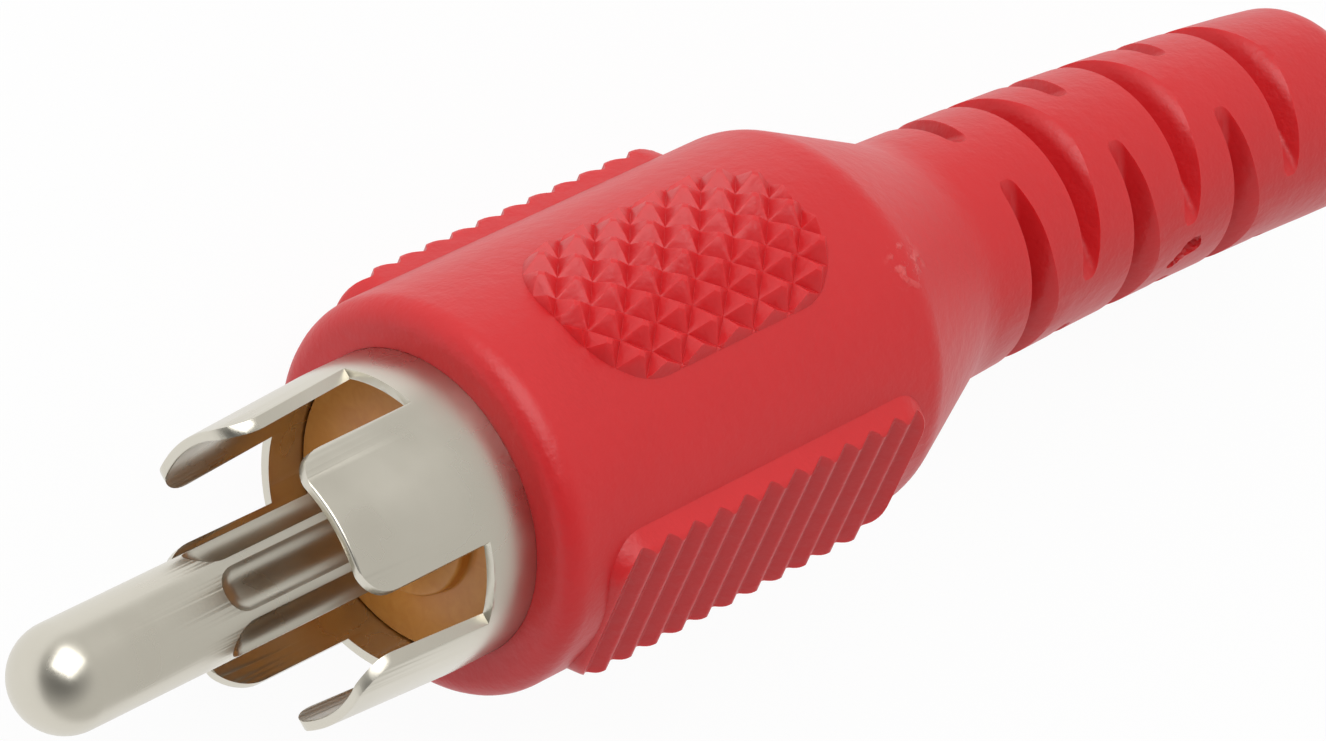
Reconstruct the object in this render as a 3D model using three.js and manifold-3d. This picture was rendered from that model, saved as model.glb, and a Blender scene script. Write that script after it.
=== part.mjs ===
// Moulded audio plug with a slotted strain relief. Millimetres, +Z up, lying at rest.
// The plug's axis runs along X: the pin points to -X and the strain relief to +X.
// Each piece is first built on the X axis with the body's front face at x = 0, a
// pyramid pad straight up (+Z) and a ribbed pad at each side; settle() then rolls it
// onto the edges of two pads and centres the whole.
import * as THREE from "three";
import { mergeVertices } from "three/addons/utils/BufferGeometryUtils.js";
import Module from "manifold-3d";

// Fits between pieces
const FIT = 0.03;
const REACH = 30;
const SLIVER = 0.005;
const WELD = 0.001;

// Centre pin
const PIN_R = 1.59;
const PIN_TIP = -14.9;
const PIN_REAR = 6.0;
const PIN_FLANGE_R = 2.2;
const PIN_FLANGE_T = 0.6;
const FLUTES = 6;
const FLUTE_FRONT = -8.6;
const FLUTE_REAR = -1.0;
const FLUTE_R = 0.85;
const FLUTE_DEPTH = 0.42;
const FLUTE_TURN = 56;

// Ground shell
const SHELL_R = 4.62;
const SHELL_T = 0.35;
const PETALS = 4;
const PETAL_TIP = -6.2;
const PETAL_TIP_R = 4.4;
const PETAL_HALF_WIDTH = 2.2;
const PETAL_CORNER = 1.15;
const PETAL_TURN = 22.7;
const SLOT_BOTTOM = -1.65;
const SHOULDER = 1.6;
const NECK_R = 3.0;
const NECK_REAR = 4.0;
const TAIL_REAR = 10.3;
const TAIL_WIDTH = 1.6;

// Insulator disc
const DISC_FRONT = -0.35;
const BOSS_FRONT = -0.8;
const BOSS_R = 2.5;

// Cable inside the moulding
const CORE_R = 0.52;
const CORE_FRONT = -9.0;
const DIELECTRIC_R = 0.97;
const SHIELD_R = 1.27;
const SHIELD_FRONT = 9.0;
const JACKET_R = 1.8;
const JACKET_FRONT = 10.6;
const CABLE_SETBACK = 1.0;
const SOLDER_R = 0.5;

// Inner mould
const MOULD_R = 4.35;
const MOULD_SHOULDER = 9.5;
const MOULD_REAR = 13.0;
const MOULD_REAR_R = 2.6;

// Body: grip, cone and strain relief
const BODY_R = 6.0;
const FACE_FILLET = 0.75;
const CONE_FRONT = 15.25;
const CONE_REAR = 19.9;
const RELIEF_R = 3.95;
const RELIEF_REAR_R = 3.45;
const RELIEF_REAR = 39.5;
const RELIEF_FILLET = 0.45;
const SLOT_PAIRS = 6;
const SLOT_FIRST = 22.4;
const SLOT_PITCH = 2.42;
const SLOT_WIDTH = 1.25;
const SLOT_FLOOR_R = 2.35;
const WEB_HALF = 0.95;

// Grip pads
const RIB_PAD = { front: 1.4, rear: 14.65, half: 2.85, corner: 1.3, crest: 6.05, depth: 0.3 };
const RIB_PITCH = 1.045;
const RIB_RISE = 0.37;
const RIB_ROUND = 0.09;
const RIBS = 12;
const PYR_PAD = { front: 2.45, rear: 12.9, half: 2.75, corner: 2.45, crest: 6.5, depth: 0.42 };
const PYR_PITCH = 1.03;
const TIP_DROP = 0.03;
const PAD_BORDER = 0.3;
const PAD_DRAFT = 0.3;
const PAD_BASE = BODY_R * 0.9;

// Pose: sideways set in the strain relief, starting behind the cone
const BEND_START = 20.0;
const BEND = 0.0027;

const SEGMENTS = 48;
const PAD_SEGMENTS = 60;
const CABLE_SEGMENTS = 16;
const wasm = await Module();
wasm.setup();

// Closed solid from any three.js geometry, welded and turned outwards
function weld(geometry, tolerance) {
  const bare = new THREE.BufferGeometry();
  bare.setAttribute("position", geometry.getAttribute("position"));
  bare.setIndex(geometry.getIndex());
  const welded = mergeVertices(bare, tolerance);
  const pos = welded.getAttribute("position").array;
  const idx = welded.getIndex().array;
  const tris = [];
  let volume = 0;
  for (let i = 0; i < idx.length; i += 3) {
    const [a, b, c] = [idx[i], idx[i + 1], idx[i + 2]];
    if (a === b || b === c || c === a) continue;
    tris.push(a, b, c);
    const [A, B, C] = [a, b, c].map((k) => new THREE.Vector3().fromArray(pos, 3 * k));
    volume += A.dot(B.cross(C));
  }
  if (volume < 0) tris.reverse();
  return new wasm.Manifold(
    new wasm.Mesh({ numProp: 3, vertProperties: new Float32Array(pos), triVerts: new Uint32Array(tris) }),
  );
}

// Solid with everything behind the cone moved sideways along the strain relief's set
function solid(geometry) {
  const { roll } = rest();
  const pos = geometry.getAttribute("position");
  for (let i = 0; i < pos.count; i += 1) {
    const aside = BEND * Math.max(0, pos.getX(i) - BEND_START) ** 2;
    pos.setY(i, pos.getY(i) - aside * Math.cos(roll));
    pos.setZ(i, pos.getZ(i) - aside * Math.sin(roll));
  }
  return weld(geometry, 1e-5);
}

const join = (list) => list.reduce((sum, item) => sum.add(item));

// Solid of revolution about X from [x, r] points that start and end on the axis or close
function turned(points, segments = SEGMENTS) {
  const lathe = new THREE.LatheGeometry(points.map(([x, r]) => new THREE.Vector2(r, x)), segments);
  return solid(lathe.rotateZ(-Math.PI / 2));
}

const rod = (from, to, r, segments = SEGMENTS) =>
  turned([[from, 0], [from, r], [to, r], [to, 0]], segments);

// Points of a circular arc in the (x, r) plane, angles in degrees
function arc(cx, cr, radius, from, to, steps) {
  return Array.from({ length: steps + 1 }, (_, i) => {
    const a = THREE.MathUtils.degToRad(from + ((to - from) * i) / steps);
    return [cx + radius * Math.cos(a), cr + radius * Math.sin(a)];
  });
}

// Evenly spaced [x, r] points of a straight run, its ends left out
function run([xa, ra], [xb, rb], step) {
  const count = Math.max(1, Math.round(Math.abs(xb - xa) / step));
  return Array.from({ length: count - 1 }, (_, i) => {
    const t = (i + 1) / count;
    return [xa + (xb - xa) * t, ra + (rb - ra) * t];
  });
}

// Rod or tube with rows close enough together to follow the bend
function bendable(from, to, outer, inner = 0) {
  const rows = (r) => run([BEND_START, r], [to, r], 3.0);
  const turnedCable = (points) => turned(points, CABLE_SEGMENTS);
  const out = turnedCable([[from, 0], [from, outer], ...rows(outer), [to, outer], [to, 0]]);
  if (inner === 0) return out;
  return out.subtract(turnedCable([[from - 1, 0], [from - 1, inner], ...rows(inner), [to + 1, inner], [to + 1, 0]]));
}

// Rounded rectangle in the (x, y) plane
function roundedRect(x0, x1, y0, y1, r) {
  const s = new THREE.Shape();
  s.moveTo(x0 + r, y0).lineTo(x1 - r, y0);
  s.absarc(x1 - r, y0 + r, r, -Math.PI / 2, 0, false);
  s.lineTo(x1, y1 - r);
  s.absarc(x1 - r, y1 - r, r, 0, Math.PI / 2, false);
  s.lineTo(x0 + r, y1);
  s.absarc(x0 + r, y1 - r, r, Math.PI / 2, Math.PI, false);
  s.lineTo(x0, y0 + r);
  s.absarc(x0 + r, y0 + r, r, Math.PI, 1.5 * Math.PI, false);
  return s;
}

const extruded = (shape, depth, curveSegments = 5) =>
  new THREE.ExtrudeGeometry(shape, { depth, bevelEnabled: false, curveSegments, steps: 1 });

function centrePin() {
  const flangeFront = SHOULDER + FIT;
  const flangeRear = flangeFront + PIN_FLANGE_T;
  const blank = turned([
    ...arc(PIN_TIP + PIN_R, 0, PIN_R, 180, 90, 10),
    [flangeFront, PIN_R], [flangeFront, PIN_FLANGE_R], [flangeRear, PIN_FLANGE_R],
    [flangeRear, PIN_R], [PIN_REAR, PIN_R], [PIN_REAR, 0],
  ], 48);
  const length = FLUTE_REAR - FLUTE_FRONT - 2 * FLUTE_R;
  const flutes = Array.from({ length: FLUTES }, (_, i) => {
    const tool = new THREE.CapsuleGeometry(FLUTE_R, length, 4, 16);
    tool.rotateZ(-Math.PI / 2);
    tool.translate((FLUTE_FRONT + FLUTE_REAR) / 2, PIN_R - FLUTE_DEPTH + FLUTE_R, 0);
    tool.rotateX(THREE.MathUtils.degToRad(FLUTE_TURN) + (i * 2 * Math.PI) / FLUTES);
    return solid(tool);
  });
  const wireHole = rod(CORE_FRONT - FIT, PIN_REAR + 1, CORE_R + FIT, CABLE_SEGMENTS);
  return blank.subtract(join(flutes)).subtract(wireHole);
}

function groundShell() {
  const inner = SHELL_R - SHELL_T;
  const tipIn = PETAL_TIP_R - SHELL_T;
  const front = turned([
    [PETAL_TIP, tipIn], [PETAL_TIP, PETAL_TIP_R], [SLOT_BOTTOM, SHELL_R], [SHOULDER + SHELL_T, SHELL_R],
    [SHOULDER + SHELL_T, NECK_R], [NECK_REAR, NECK_R], [NECK_REAR, NECK_R - SHELL_T],
    [SHOULDER, NECK_R - SHELL_T], [SHOULDER, inner], [SLOT_BOTTOM, inner], [PETAL_TIP, tipIn],
  ]);
  const petals = Array.from({ length: PETALS }, (_, i) => {
    const plan = roundedRect(PETAL_TIP, 2, -PETAL_HALF_WIDTH, PETAL_HALF_WIDTH, PETAL_CORNER);
    const blade = extruded(plan, SHELL_R + 1);
    blade.rotateX(THREE.MathUtils.degToRad(PETAL_TURN - 90) + (i * 2 * Math.PI) / PETALS);
    return solid(blade);
  });
  const keep = join([rod(SLOT_BOTTOM, NECK_REAR + 1, SHELL_R + 1), ...petals]);
  return front.intersect(keep).add(solid(tailStrip(0)));
}

// Solder tail of the ground shell, a flat strip running back from the neck
function tailStrip(margin) {
  const from = NECK_REAR - 0.5;
  const strip = new THREE.BoxGeometry(TAIL_REAR - from + margin, TAIL_WIDTH + 2 * margin, 0.3 + 2 * margin);
  return strip.translate((TAIL_REAR + from + margin) / 2, 0, NECK_R - SHELL_T / 2);
}

function insulator() {
  const outer = SHELL_R - SHELL_T - FIT;
  const hole = PIN_R + FIT;
  return turned([
    [BOSS_FRONT, hole], [BOSS_FRONT, BOSS_R], [DISC_FRONT, BOSS_R], [DISC_FRONT, outer],
    [SHOULDER - FIT, outer], [SHOULDER - FIT, hole], [BOSS_FRONT, hole],
  ]);
}

// Solder between the tail and the cable's shield
function shieldSolder(margin) {
  const top = NECK_R - SHELL_T / 2 - 0.15 - FIT;
  const post = new THREE.CylinderGeometry(SOLDER_R + margin, SOLDER_R + margin, top + margin, 20);
  post.rotateX(Math.PI / 2);
  post.translate(TAIL_REAR - SOLDER_R - 0.05, 0, (top + margin) / 2);
  return solid(post).subtract(rod(SHIELD_FRONT - 2, JACKET_FRONT + 2, SHIELD_R + FIT - margin, CABLE_SEGMENTS));
}

// Outline of the inner mould, grown by a margin for the cavity around it
function mouldBlank(margin) {
  const rear = MOULD_REAR + margin;
  return turned([
    [SHOULDER + SHELL_T + FIT - margin, 0], [SHOULDER + SHELL_T + FIT - margin, MOULD_R + margin],
    [MOULD_SHOULDER + margin, MOULD_R + margin], [rear, MOULD_REAR_R + margin], [rear, 0],
  ], 40);
}

function innerMould() {
  const neckIn = NECK_R - SHELL_T - FIT;
  const neckPocket = rod(0, NECK_REAR + FIT, NECK_R + FIT, 40).subtract(rod(-1, NECK_REAR + 1, neckIn, 40));
  return mouldBlank(0)
    .subtract(join([
      rod(0, SHOULDER + FIT + PIN_FLANGE_T + FIT, PIN_FLANGE_R + FIT, 48),
      rod(0, PIN_REAR + FIT, PIN_R + FIT, 48),
      rod(0, SHIELD_FRONT, DIELECTRIC_R + FIT, CABLE_SEGMENTS),
      rod(SHIELD_FRONT - FIT, REACH, SHIELD_R + FIT, CABLE_SEGMENTS),
      rod(JACKET_FRONT - FIT, REACH, JACKET_R + FIT, CABLE_SEGMENTS),
    ]))
    .subtract(neckPocket)
    .subtract(solid(tailStrip(FIT)))
    .subtract(shieldSolder(FIT));
}

// Prism over a pad's plan, narrowing upwards; inset shrinks the plan all round
function padPrism(pad, inset) {
  const halfLength = (pad.rear - pad.front) / 2 - inset;
  const halfWidth = pad.half - inset;
  const plan = roundedRect(-halfLength, halfLength, -halfWidth, halfWidth, pad.corner - inset);
  const prism = extruded(plan, 4, 4).translate(0, 0, pad.crest - 2.4);
  const pos = prism.getAttribute("position");
  for (let i = 0; i < pos.count; i += 1) {
    const draft = PAD_DRAFT * (pos.getZ(i) - PAD_BASE);
    pos.setX(i, pos.getX(i) * (1 - draft / halfLength));
    pos.setY(i, pos.getY(i) * (1 - draft / halfWidth));
  }
  return solid(prism.translate((pad.front + pad.rear) / 2, 0, 0));
}

// Ribbed pad, facing +Z, as a plain block with a flat top
function ribbedPad() {
  const { front, rear, half, crest } = RIB_PAD;
  const block = new THREE.BoxGeometry(rear - front + 2, 2 * half + 2, crest);
  return padPrism(RIB_PAD, 0).intersect(solid(block.translate((front + rear) / 2, 0, crest / 2)));
}

// Space above the ribs: leaning teeth, steep in front, that run straight across the pad
function aboveRibs() {
  const { front, rear, half, crest, depth } = RIB_PAD;
  const first = (front + rear - RIBS * RIB_PITCH) / 2;
  const valley = crest - depth;
  const plan = new THREE.Shape();
  plan.moveTo(first, crest + 1).lineTo(first, crest - TIP_DROP);
  for (let i = 0; i < RIBS; i += 1) {
    const x = first + (i + 1) * RIB_PITCH;
    plan.lineTo(x - RIB_RISE, valley).lineTo(x - RIB_ROUND, crest - TIP_DROP - RIB_ROUND / 2);
    plan.lineTo(x, crest - TIP_DROP).lineTo(x + RIB_ROUND, crest - TIP_DROP - RIB_ROUND / 4);
  }
  plan.lineTo(first + RIBS * RIB_PITCH + RIB_ROUND, crest + 1);
  const cutter = extruded(plan, 2 * half + 1).rotateX(Math.PI / 2);
  return solid(cutter.translate(0, half + 0.5, 0));
}

// Space above a field of pyramids in slanting rows, wrapped onto the body's curve.
// Tips stand on every second point of the grid and the grooves cross on the others.
function abovePyramids() {
  const step = PYR_PITCH * Math.SQRT1_2;
  const middle = (PYR_PAD.front + PYR_PAD.rear) / 2;
  const cols = Math.ceil((PYR_PAD.rear - PYR_PAD.front) / (2 * step)) + 1;
  const rows = Math.ceil(PYR_PAD.half / step) + 1;
  const isTip = (i, j) => (i + j) % 2 === 0;
  const verts = [];
  const tris = [];
  for (const roof of [false, true]) {
    for (let i = -cols; i <= cols; i += 1) {
      for (let j = -rows; j <= rows; j += 1) {
        const drop = isTip(i, j) ? TIP_DROP : PYR_PAD.depth;
        const r = PYR_PAD.crest + (roof ? 1 : -drop);
        const turn = (j * step) / PYR_PAD.crest;
        verts.push(middle + i * step, r * Math.sin(turn), r * Math.cos(turn));
      }
    }
  }
  const low = (i, j) => (i + cols) * (2 * rows + 1) + j + rows;
  const high = (i, j) => low(i, j) + (2 * cols + 1) * (2 * rows + 1);
  const quad = (a, b, c, d) => tris.push(a, b, c, a, c, d);
  for (let i = -cols; i < cols; i += 1) {
    for (let j = -rows; j < rows; j += 1) {
      const around = [[i, j], [i + 1, j], [i + 1, j + 1], [i, j + 1]];
      if (isTip(i, j)) around.push(around.shift());
      const [a, b, c, d] = around;
      quad(high(...a), high(...b), high(...c), high(...d));
      quad(low(...a), low(...d), low(...c), low(...b));
    }
    quad(low(i, -rows), low(i + 1, -rows), high(i + 1, -rows), high(i, -rows));
    quad(low(i + 1, rows), low(i, rows), high(i, rows), high(i + 1, rows));
  }
  for (let j = -rows; j < rows; j += 1) {
    quad(low(-cols, j + 1), low(-cols, j), high(-cols, j), high(-cols, j + 1));
    quad(low(cols, j), low(cols, j + 1), high(cols, j + 1), high(cols, j));
  }
  const field = new THREE.BufferGeometry();
  field.setAttribute("position", new THREE.Float32BufferAttribute(verts, 3));
  field.setIndex(tris);
  return solid(field);
}

function pyramidPad() {
  const { front, rear, crest } = PYR_PAD;
  const blank = padPrism(PYR_PAD, 0).intersect(rod(front - 1, rear + 1, crest, PAD_SEGMENTS));
  return blank.subtract(abovePyramids().intersect(padPrism(PYR_PAD, PAD_BORDER)));
}

// One pair of opposite slots with rounded ends, open up and down or, turned, to the sides
function slotPair(x, turn) {
  const half = SLOT_WIDTH / 2;
  const plan = new THREE.Shape();
  plan.moveTo(x - half, RELIEF_R + 1).lineTo(x - half, WEB_HALF + half);
  plan.absarc(x, WEB_HALF + half, half, Math.PI, 2 * Math.PI, false);
  plan.lineTo(x + half, RELIEF_R + 1);
  const cutters = [0, Math.PI].map((side) => {
    const cutter = extruded(plan, 2 * RELIEF_R + 2, 5);
    cutter.translate(0, 0, -RELIEF_R - 1);
    return solid(cutter.rotateX(Math.PI / 2 + side + turn));
  });
  return join(cutters).subtract(rod(x - 2, x + 2, SLOT_FLOOR_R, 32));
}

function plugBody() {
  const reliefFront = [CONE_REAR + 1.0, RELIEF_R];
  const reliefRear = [RELIEF_REAR - RELIEF_FILLET, RELIEF_REAR_R];
  const outside = turned([
    [0, 0], [0, BODY_R - FACE_FILLET],
    ...arc(FACE_FILLET, BODY_R - FACE_FILLET, FACE_FILLET, 165, 90, 5),
    [CONE_FRONT - 0.7, BODY_R], [CONE_FRONT - 0.2, BODY_R - 0.05], [CONE_FRONT + 0.35, BODY_R - 0.25],
    [CONE_REAR - 0.7, RELIEF_R + 0.42], [CONE_REAR, RELIEF_R + 0.12], reliefFront,
    ...run(reliefFront, reliefRear, 1.21), reliefRear,
    ...arc(reliefRear[0], reliefRear[1] - RELIEF_FILLET, RELIEF_FILLET, 60, 0, 2), [RELIEF_REAR, 0],
  ]);
  const pads = [0, 1, 2, 3].map((i) => (i % 2 === 0 ? pyramidPad() : ribbedPad()).rotate([90 * i, 0, 0]));
  const slots = Array.from({ length: SLOT_PAIRS }, (_, i) =>
    slotPair(SLOT_FIRST + i * SLOT_PITCH, i % 2 === 0 ? Math.PI / 2 : 0),
  );
  const cavity = join([
    rod(-1, SHOULDER + SHELL_T + FIT, SHELL_R + FIT),
    mouldBlank(FIT),
    bendable(MOULD_REAR, RELIEF_REAR + 1, JACKET_R + FIT),
  ]);
  const grooves = [90, 270].map((turn) => aboveRibs().rotate([turn, 0, 0]));
  return join([outside, ...pads]).subtract(join([...slots, ...grooves])).subtract(cavity);
}

// Resting roll: the straight edge of a pyramid pad and the rib ends of a ribbed pad touch the
// ground together
function rest() {
  const halfAt = (pad, z) => pad.half - PAD_DRAFT * (z - PAD_BASE);
  const pyramidHalf = halfAt(PYR_PAD, PYR_PAD.crest * Math.cos(PYR_PAD.half / PYR_PAD.crest));
  const pyramidEdge = Math.asin(pyramidHalf / PYR_PAD.crest);
  const ribTop = RIB_PAD.crest - TIP_DROP;
  const ribHalf = halfAt(RIB_PAD, ribTop);
  const gap = Math.PI / 2 - pyramidEdge - Math.atan2(ribHalf, ribTop);
  const tilt = Math.atan2(Math.cos(gap) - PYR_PAD.crest / Math.hypot(ribTop, ribHalf), Math.sin(gap));
  return { roll: pyramidEdge - tilt, height: PYR_PAD.crest * Math.cos(tilt) };
}

// Rolls and centres a piece, drops slivers without volume and gives it its colour
function settle(name, piece, colour, roughness, metalness) {
  const { vertProperties, triVerts } = piece.simplify(SLIVER).getMesh();
  const moved = new THREE.BufferGeometry();
  moved.setAttribute("position", new THREE.BufferAttribute(new Float32Array(vertProperties), 3));
  moved.setIndex(new THREE.BufferAttribute(new Uint32Array(triVerts), 1));
  const { roll, height } = rest();
  moved.rotateX(-roll).translate(-(PIN_TIP + RELIEF_REAR) / 2, 0, height);
  const main = weld(moved, WELD).decompose().reduce((a, b) => (a.volume() > b.volume() ? a : b)).getMesh();
  const geometry = new THREE.BufferGeometry();
  geometry.setAttribute("position", new THREE.BufferAttribute(new Float32Array(main.vertProperties), 3));
  geometry.setIndex(new THREE.BufferAttribute(new Uint32Array(main.triVerts), 1));
  const mesh = new THREE.Mesh(geometry, new THREE.MeshStandardMaterial({ color: colour, roughness, metalness }));
  mesh.name = name;
  return mesh;
}

const cableEnd = RELIEF_REAR - CABLE_SETBACK;
const group = new THREE.Group();
group.name = "audio_plug";
group.add(
  settle("plug_body", plugBody(), 0xcf2e34, 0.5, 0),
  settle("centre_pin", centrePin(), 0xb9b5a8, 0.22, 1),
  settle("ground_shell", groundShell(), 0xb4ae9c, 0.26, 1),
  settle("insulator", insulator(), 0x9a5a22, 0.45, 0),
  settle("inner_mould", innerMould(), 0xd9d4c6, 0.6, 0),
  settle("centre_conductor", bendable(CORE_FRONT, cableEnd, CORE_R), 0xb87333, 0.35, 1),
  settle("dielectric", bendable(PIN_REAR + FIT, cableEnd, DIELECTRIC_R, CORE_R + FIT), 0xeeeae0, 0.6, 0),
  settle("shield", bendable(SHIELD_FRONT, cableEnd, SHIELD_R, DIELECTRIC_R + FIT), 0xb87f4a, 0.4, 1),
  settle("cable_jacket", bendable(JACKET_FRONT, cableEnd, JACKET_R, SHIELD_R + FIT), 0x242424, 0.6, 0),
  settle("shield_solder", shieldSolder(0), 0xa9abad, 0.3, 1),
);

export default group;
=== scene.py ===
# %% [markdown]
# # A moulded audio plug
#
# The plug is a turned metal pin and a petalled ground shell, held in one red overmoulding
# with grip pads and a slotted strain relief. The solids of the plug are loaded first, as
# the frame: they say where everything is. Each piece that shows is then modelled again,
# finer, in its place, and gets the finish of the real material.

import math

import bpy
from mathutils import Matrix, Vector


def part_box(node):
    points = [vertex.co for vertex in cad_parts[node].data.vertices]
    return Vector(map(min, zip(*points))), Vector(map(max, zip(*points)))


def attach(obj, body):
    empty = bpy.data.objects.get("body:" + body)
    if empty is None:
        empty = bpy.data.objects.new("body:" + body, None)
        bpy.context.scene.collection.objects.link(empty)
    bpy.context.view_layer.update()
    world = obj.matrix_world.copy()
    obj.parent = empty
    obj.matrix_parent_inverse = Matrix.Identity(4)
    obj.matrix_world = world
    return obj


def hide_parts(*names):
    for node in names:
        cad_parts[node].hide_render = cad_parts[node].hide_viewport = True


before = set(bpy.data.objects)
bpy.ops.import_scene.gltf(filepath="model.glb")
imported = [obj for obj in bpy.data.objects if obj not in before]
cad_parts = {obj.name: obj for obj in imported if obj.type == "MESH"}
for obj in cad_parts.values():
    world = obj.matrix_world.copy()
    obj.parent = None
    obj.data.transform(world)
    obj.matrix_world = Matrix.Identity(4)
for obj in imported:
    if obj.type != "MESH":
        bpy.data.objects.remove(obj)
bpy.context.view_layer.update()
print("frame:", sorted(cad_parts))

# %% [markdown]
# ## Sizes
#
# All lengths are millimetres and are multiplied by MM where Blender needs metres. Pieces
# are modelled on a workbench of their own: the plug's axis is the X axis, the flat front
# face of the body is at x = 0, the pin points to -X, and a pyramid pad faces up. The
# frame's pin says where the plug lies, and a piece is laid there when it is finished.
# FIT is the gap between pieces that fit together. A tool that has to reach out of a piece
# does so by OUTSIDE.

# %% Sizes and the plug's place
MM = 0.001

PIN_R = 1.59
PIN_TIP = -14.9
PIN_REAR = 6.0
SHELL_R = 4.62
SHELL_T = 0.3
SHOULDER = 1.6
BODY_R = 6.0
CONE_FRONT = 15.25
CONE_REAR = 19.9
RELIEF_R = 3.88
RELIEF_REAR_R = 3.32
RELIEF_REAR = 39.5
JACKET_R = 1.8
FIT = 0.03
OUTSIDE = 1.0

pin_low, pin_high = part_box("centre_pin")
FACE_X = pin_low[0] - PIN_TIP * MM
AXIS_Z = (pin_low[2] + pin_high[2]) / 2
ROLL = math.radians(43.88)
print("front face at x = %.2f mm, axis %.2f mm above the ground" % (FACE_X / MM, AXIS_Z / MM))

# %% [markdown]
# ## Outlines that are spun
#
# Most pieces of a plug are turned or moulded round. Such a piece starts as an outline:
# one point that is pulled on from corner to corner, as a pen draws it, and is then spun
# about the axis. Corners of a real piece are never quite sharp, so a corner can be given
# with a radius, and a tangent arc takes its place.

# %% Selecting
def only(piece):
    """Makes this piece the only selected one."""
    bpy.ops.object.select_all(action="DESELECT")
    piece.select_set(True)
    bpy.context.view_layer.objects.active = piece


def select_faces(piece, wanted):
    """Selects the faces of the piece, in object mode, that the test wants, and no others."""
    only(piece)
    bpy.ops.object.mode_set(mode="EDIT")
    bpy.ops.mesh.select_mode(type="FACE")
    bpy.ops.mesh.select_all(action="DESELECT")
    bpy.ops.object.mode_set(mode="OBJECT")
    for face in piece.data.polygons:
        face.select = wanted(face)


# %% Rounded corners
def rounded(corners, steps=6):
    """Points of an outline of (x, r) or (x, r, radius) corners, with arcs for the radii."""
    points = []
    for index, corner in enumerate(corners):
        here = Vector(corner[:2])
        if len(corner) == 2:
            points.append(here)
            continue
        back = (Vector(corners[index - 1][:2]) - here).normalized()
        on = (Vector(corners[(index + 1) % len(corners)][:2]) - here).normalized()
        half = back.angle(on) / 2
        centre = here + (back + on).normalized() * corner[2] / math.sin(half)
        start = here + back * corner[2] / math.tan(half) - centre
        end = here + on * corner[2] / math.tan(half) - centre
        for step in range(steps + 1):
            points.append(centre + start.slerp(end, step / steps).normalized() * corner[2])
    return points


# %% Drawing an outline
def drawn(name, points):
    """A line of edges through (x, r) points, drawn in the XZ plane."""
    bpy.ops.object.select_all(action="DESELECT")
    first = points[0]
    bpy.ops.mesh.primitive_plane_add(size=MM, location=(first[0] * MM, 0, first[1] * MM))
    piece = bpy.context.object
    piece.name = name
    bpy.ops.object.mode_set(mode="EDIT")
    bpy.ops.mesh.select_mode(type="VERT")
    bpy.ops.mesh.select_all(action="SELECT")
    bpy.ops.mesh.merge(type="CENTER")
    for before, after in zip(points, points[1:]):
        step = ((after[0] - before[0]) * MM, 0, (after[1] - before[1]) * MM)
        bpy.ops.mesh.extrude_vertices_move(TRANSFORM_OT_translate={"value": step})
    bpy.ops.object.mode_set(mode="OBJECT")
    bpy.ops.object.transform_apply()
    return piece


# %% Spinning an outline
WELD = 2e-6


def tidied(piece):
    """Merges the piece's doubled points and turns its faces outwards."""
    only(piece)
    bpy.ops.object.mode_set(mode="EDIT")
    bpy.ops.mesh.select_all(action="SELECT")
    bpy.ops.mesh.remove_doubles(threshold=WELD)
    bpy.ops.mesh.normals_make_consistent(inside=False)
    bpy.ops.object.mode_set(mode="OBJECT")
    return piece


def spun(name, points, steps=96):
    """A solid of revolution about X. Its outline starts and ends on the axis or closes."""
    piece = drawn(name, points)
    bpy.ops.object.mode_set(mode="EDIT")
    bpy.ops.mesh.select_all(action="SELECT")
    bpy.ops.mesh.spin(steps=steps, angle=math.tau, center=(0, 0, 0), axis=(1, 0, 0))
    bpy.ops.object.mode_set(mode="OBJECT")
    return tidied(piece)


def closed(points):
    """The outline with its first point repeated at the end."""
    return list(points) + [points[0]]


# %% [markdown]
# ## Cutting and joining
#
# Slots, flutes and grooves are cut with tools, as a mould or a press would leave them. A
# tool is a solid of its own, and a Boolean modifier takes it away from the piece, adds it
# or keeps what both share. The modifier is applied at once and the tool is thrown away.

# %% Boolean tools
def worked(piece, tools, operation="DIFFERENCE"):
    """Cuts, joins or keeps the tools' space in the piece, and deletes the tools."""
    for tool in tools:
        only(piece)
        step = piece.modifiers.new("tool", "BOOLEAN")
        step.operation = operation
        step.solver = "MANIFOLD"
        step.object = tool
        bpy.ops.object.modifier_apply(modifier=step.name)
        bpy.data.meshes.remove(tool.data)
    return piece


def softened(piece, width, angle, segments=2):
    """Rounds the edges that are sharper than the angle, in degrees."""
    only(piece)
    step = piece.modifiers.new("soft edges", "BEVEL")
    step.width = width * MM
    step.segments = segments
    step.limit_method = "ANGLE"
    step.angle_limit = math.radians(angle)
    step.use_clamp_overlap = True
    bpy.ops.object.modifier_apply(modifier=step.name)
    return piece


def turned_copy(piece, degrees):
    """A copy with its own mesh, turned about the plug's axis."""
    copy = piece.copy()
    copy.data = piece.data.copy()
    bpy.context.collection.objects.link(copy)
    copy.rotation_euler.x = math.radians(degrees)
    only(copy)
    bpy.ops.object.transform_apply()
    return copy


# %% [markdown]
# ## Laying a finished piece in its place
#
# A finished piece is rolled onto the edges of two pads and moved over its solid in the
# frame. Its place goes into its mesh, so that its object stays at the origin. The strain
# relief of a used plug has a slight set to one side, which grows with the square of the
# distance behind the cone. A vertex group holds that share and a Displace modifier does
# the rest.

# %% Laying and setting
BEND_START = 20.0
BEND_END = 39.5
BEND = 0.0027


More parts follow.
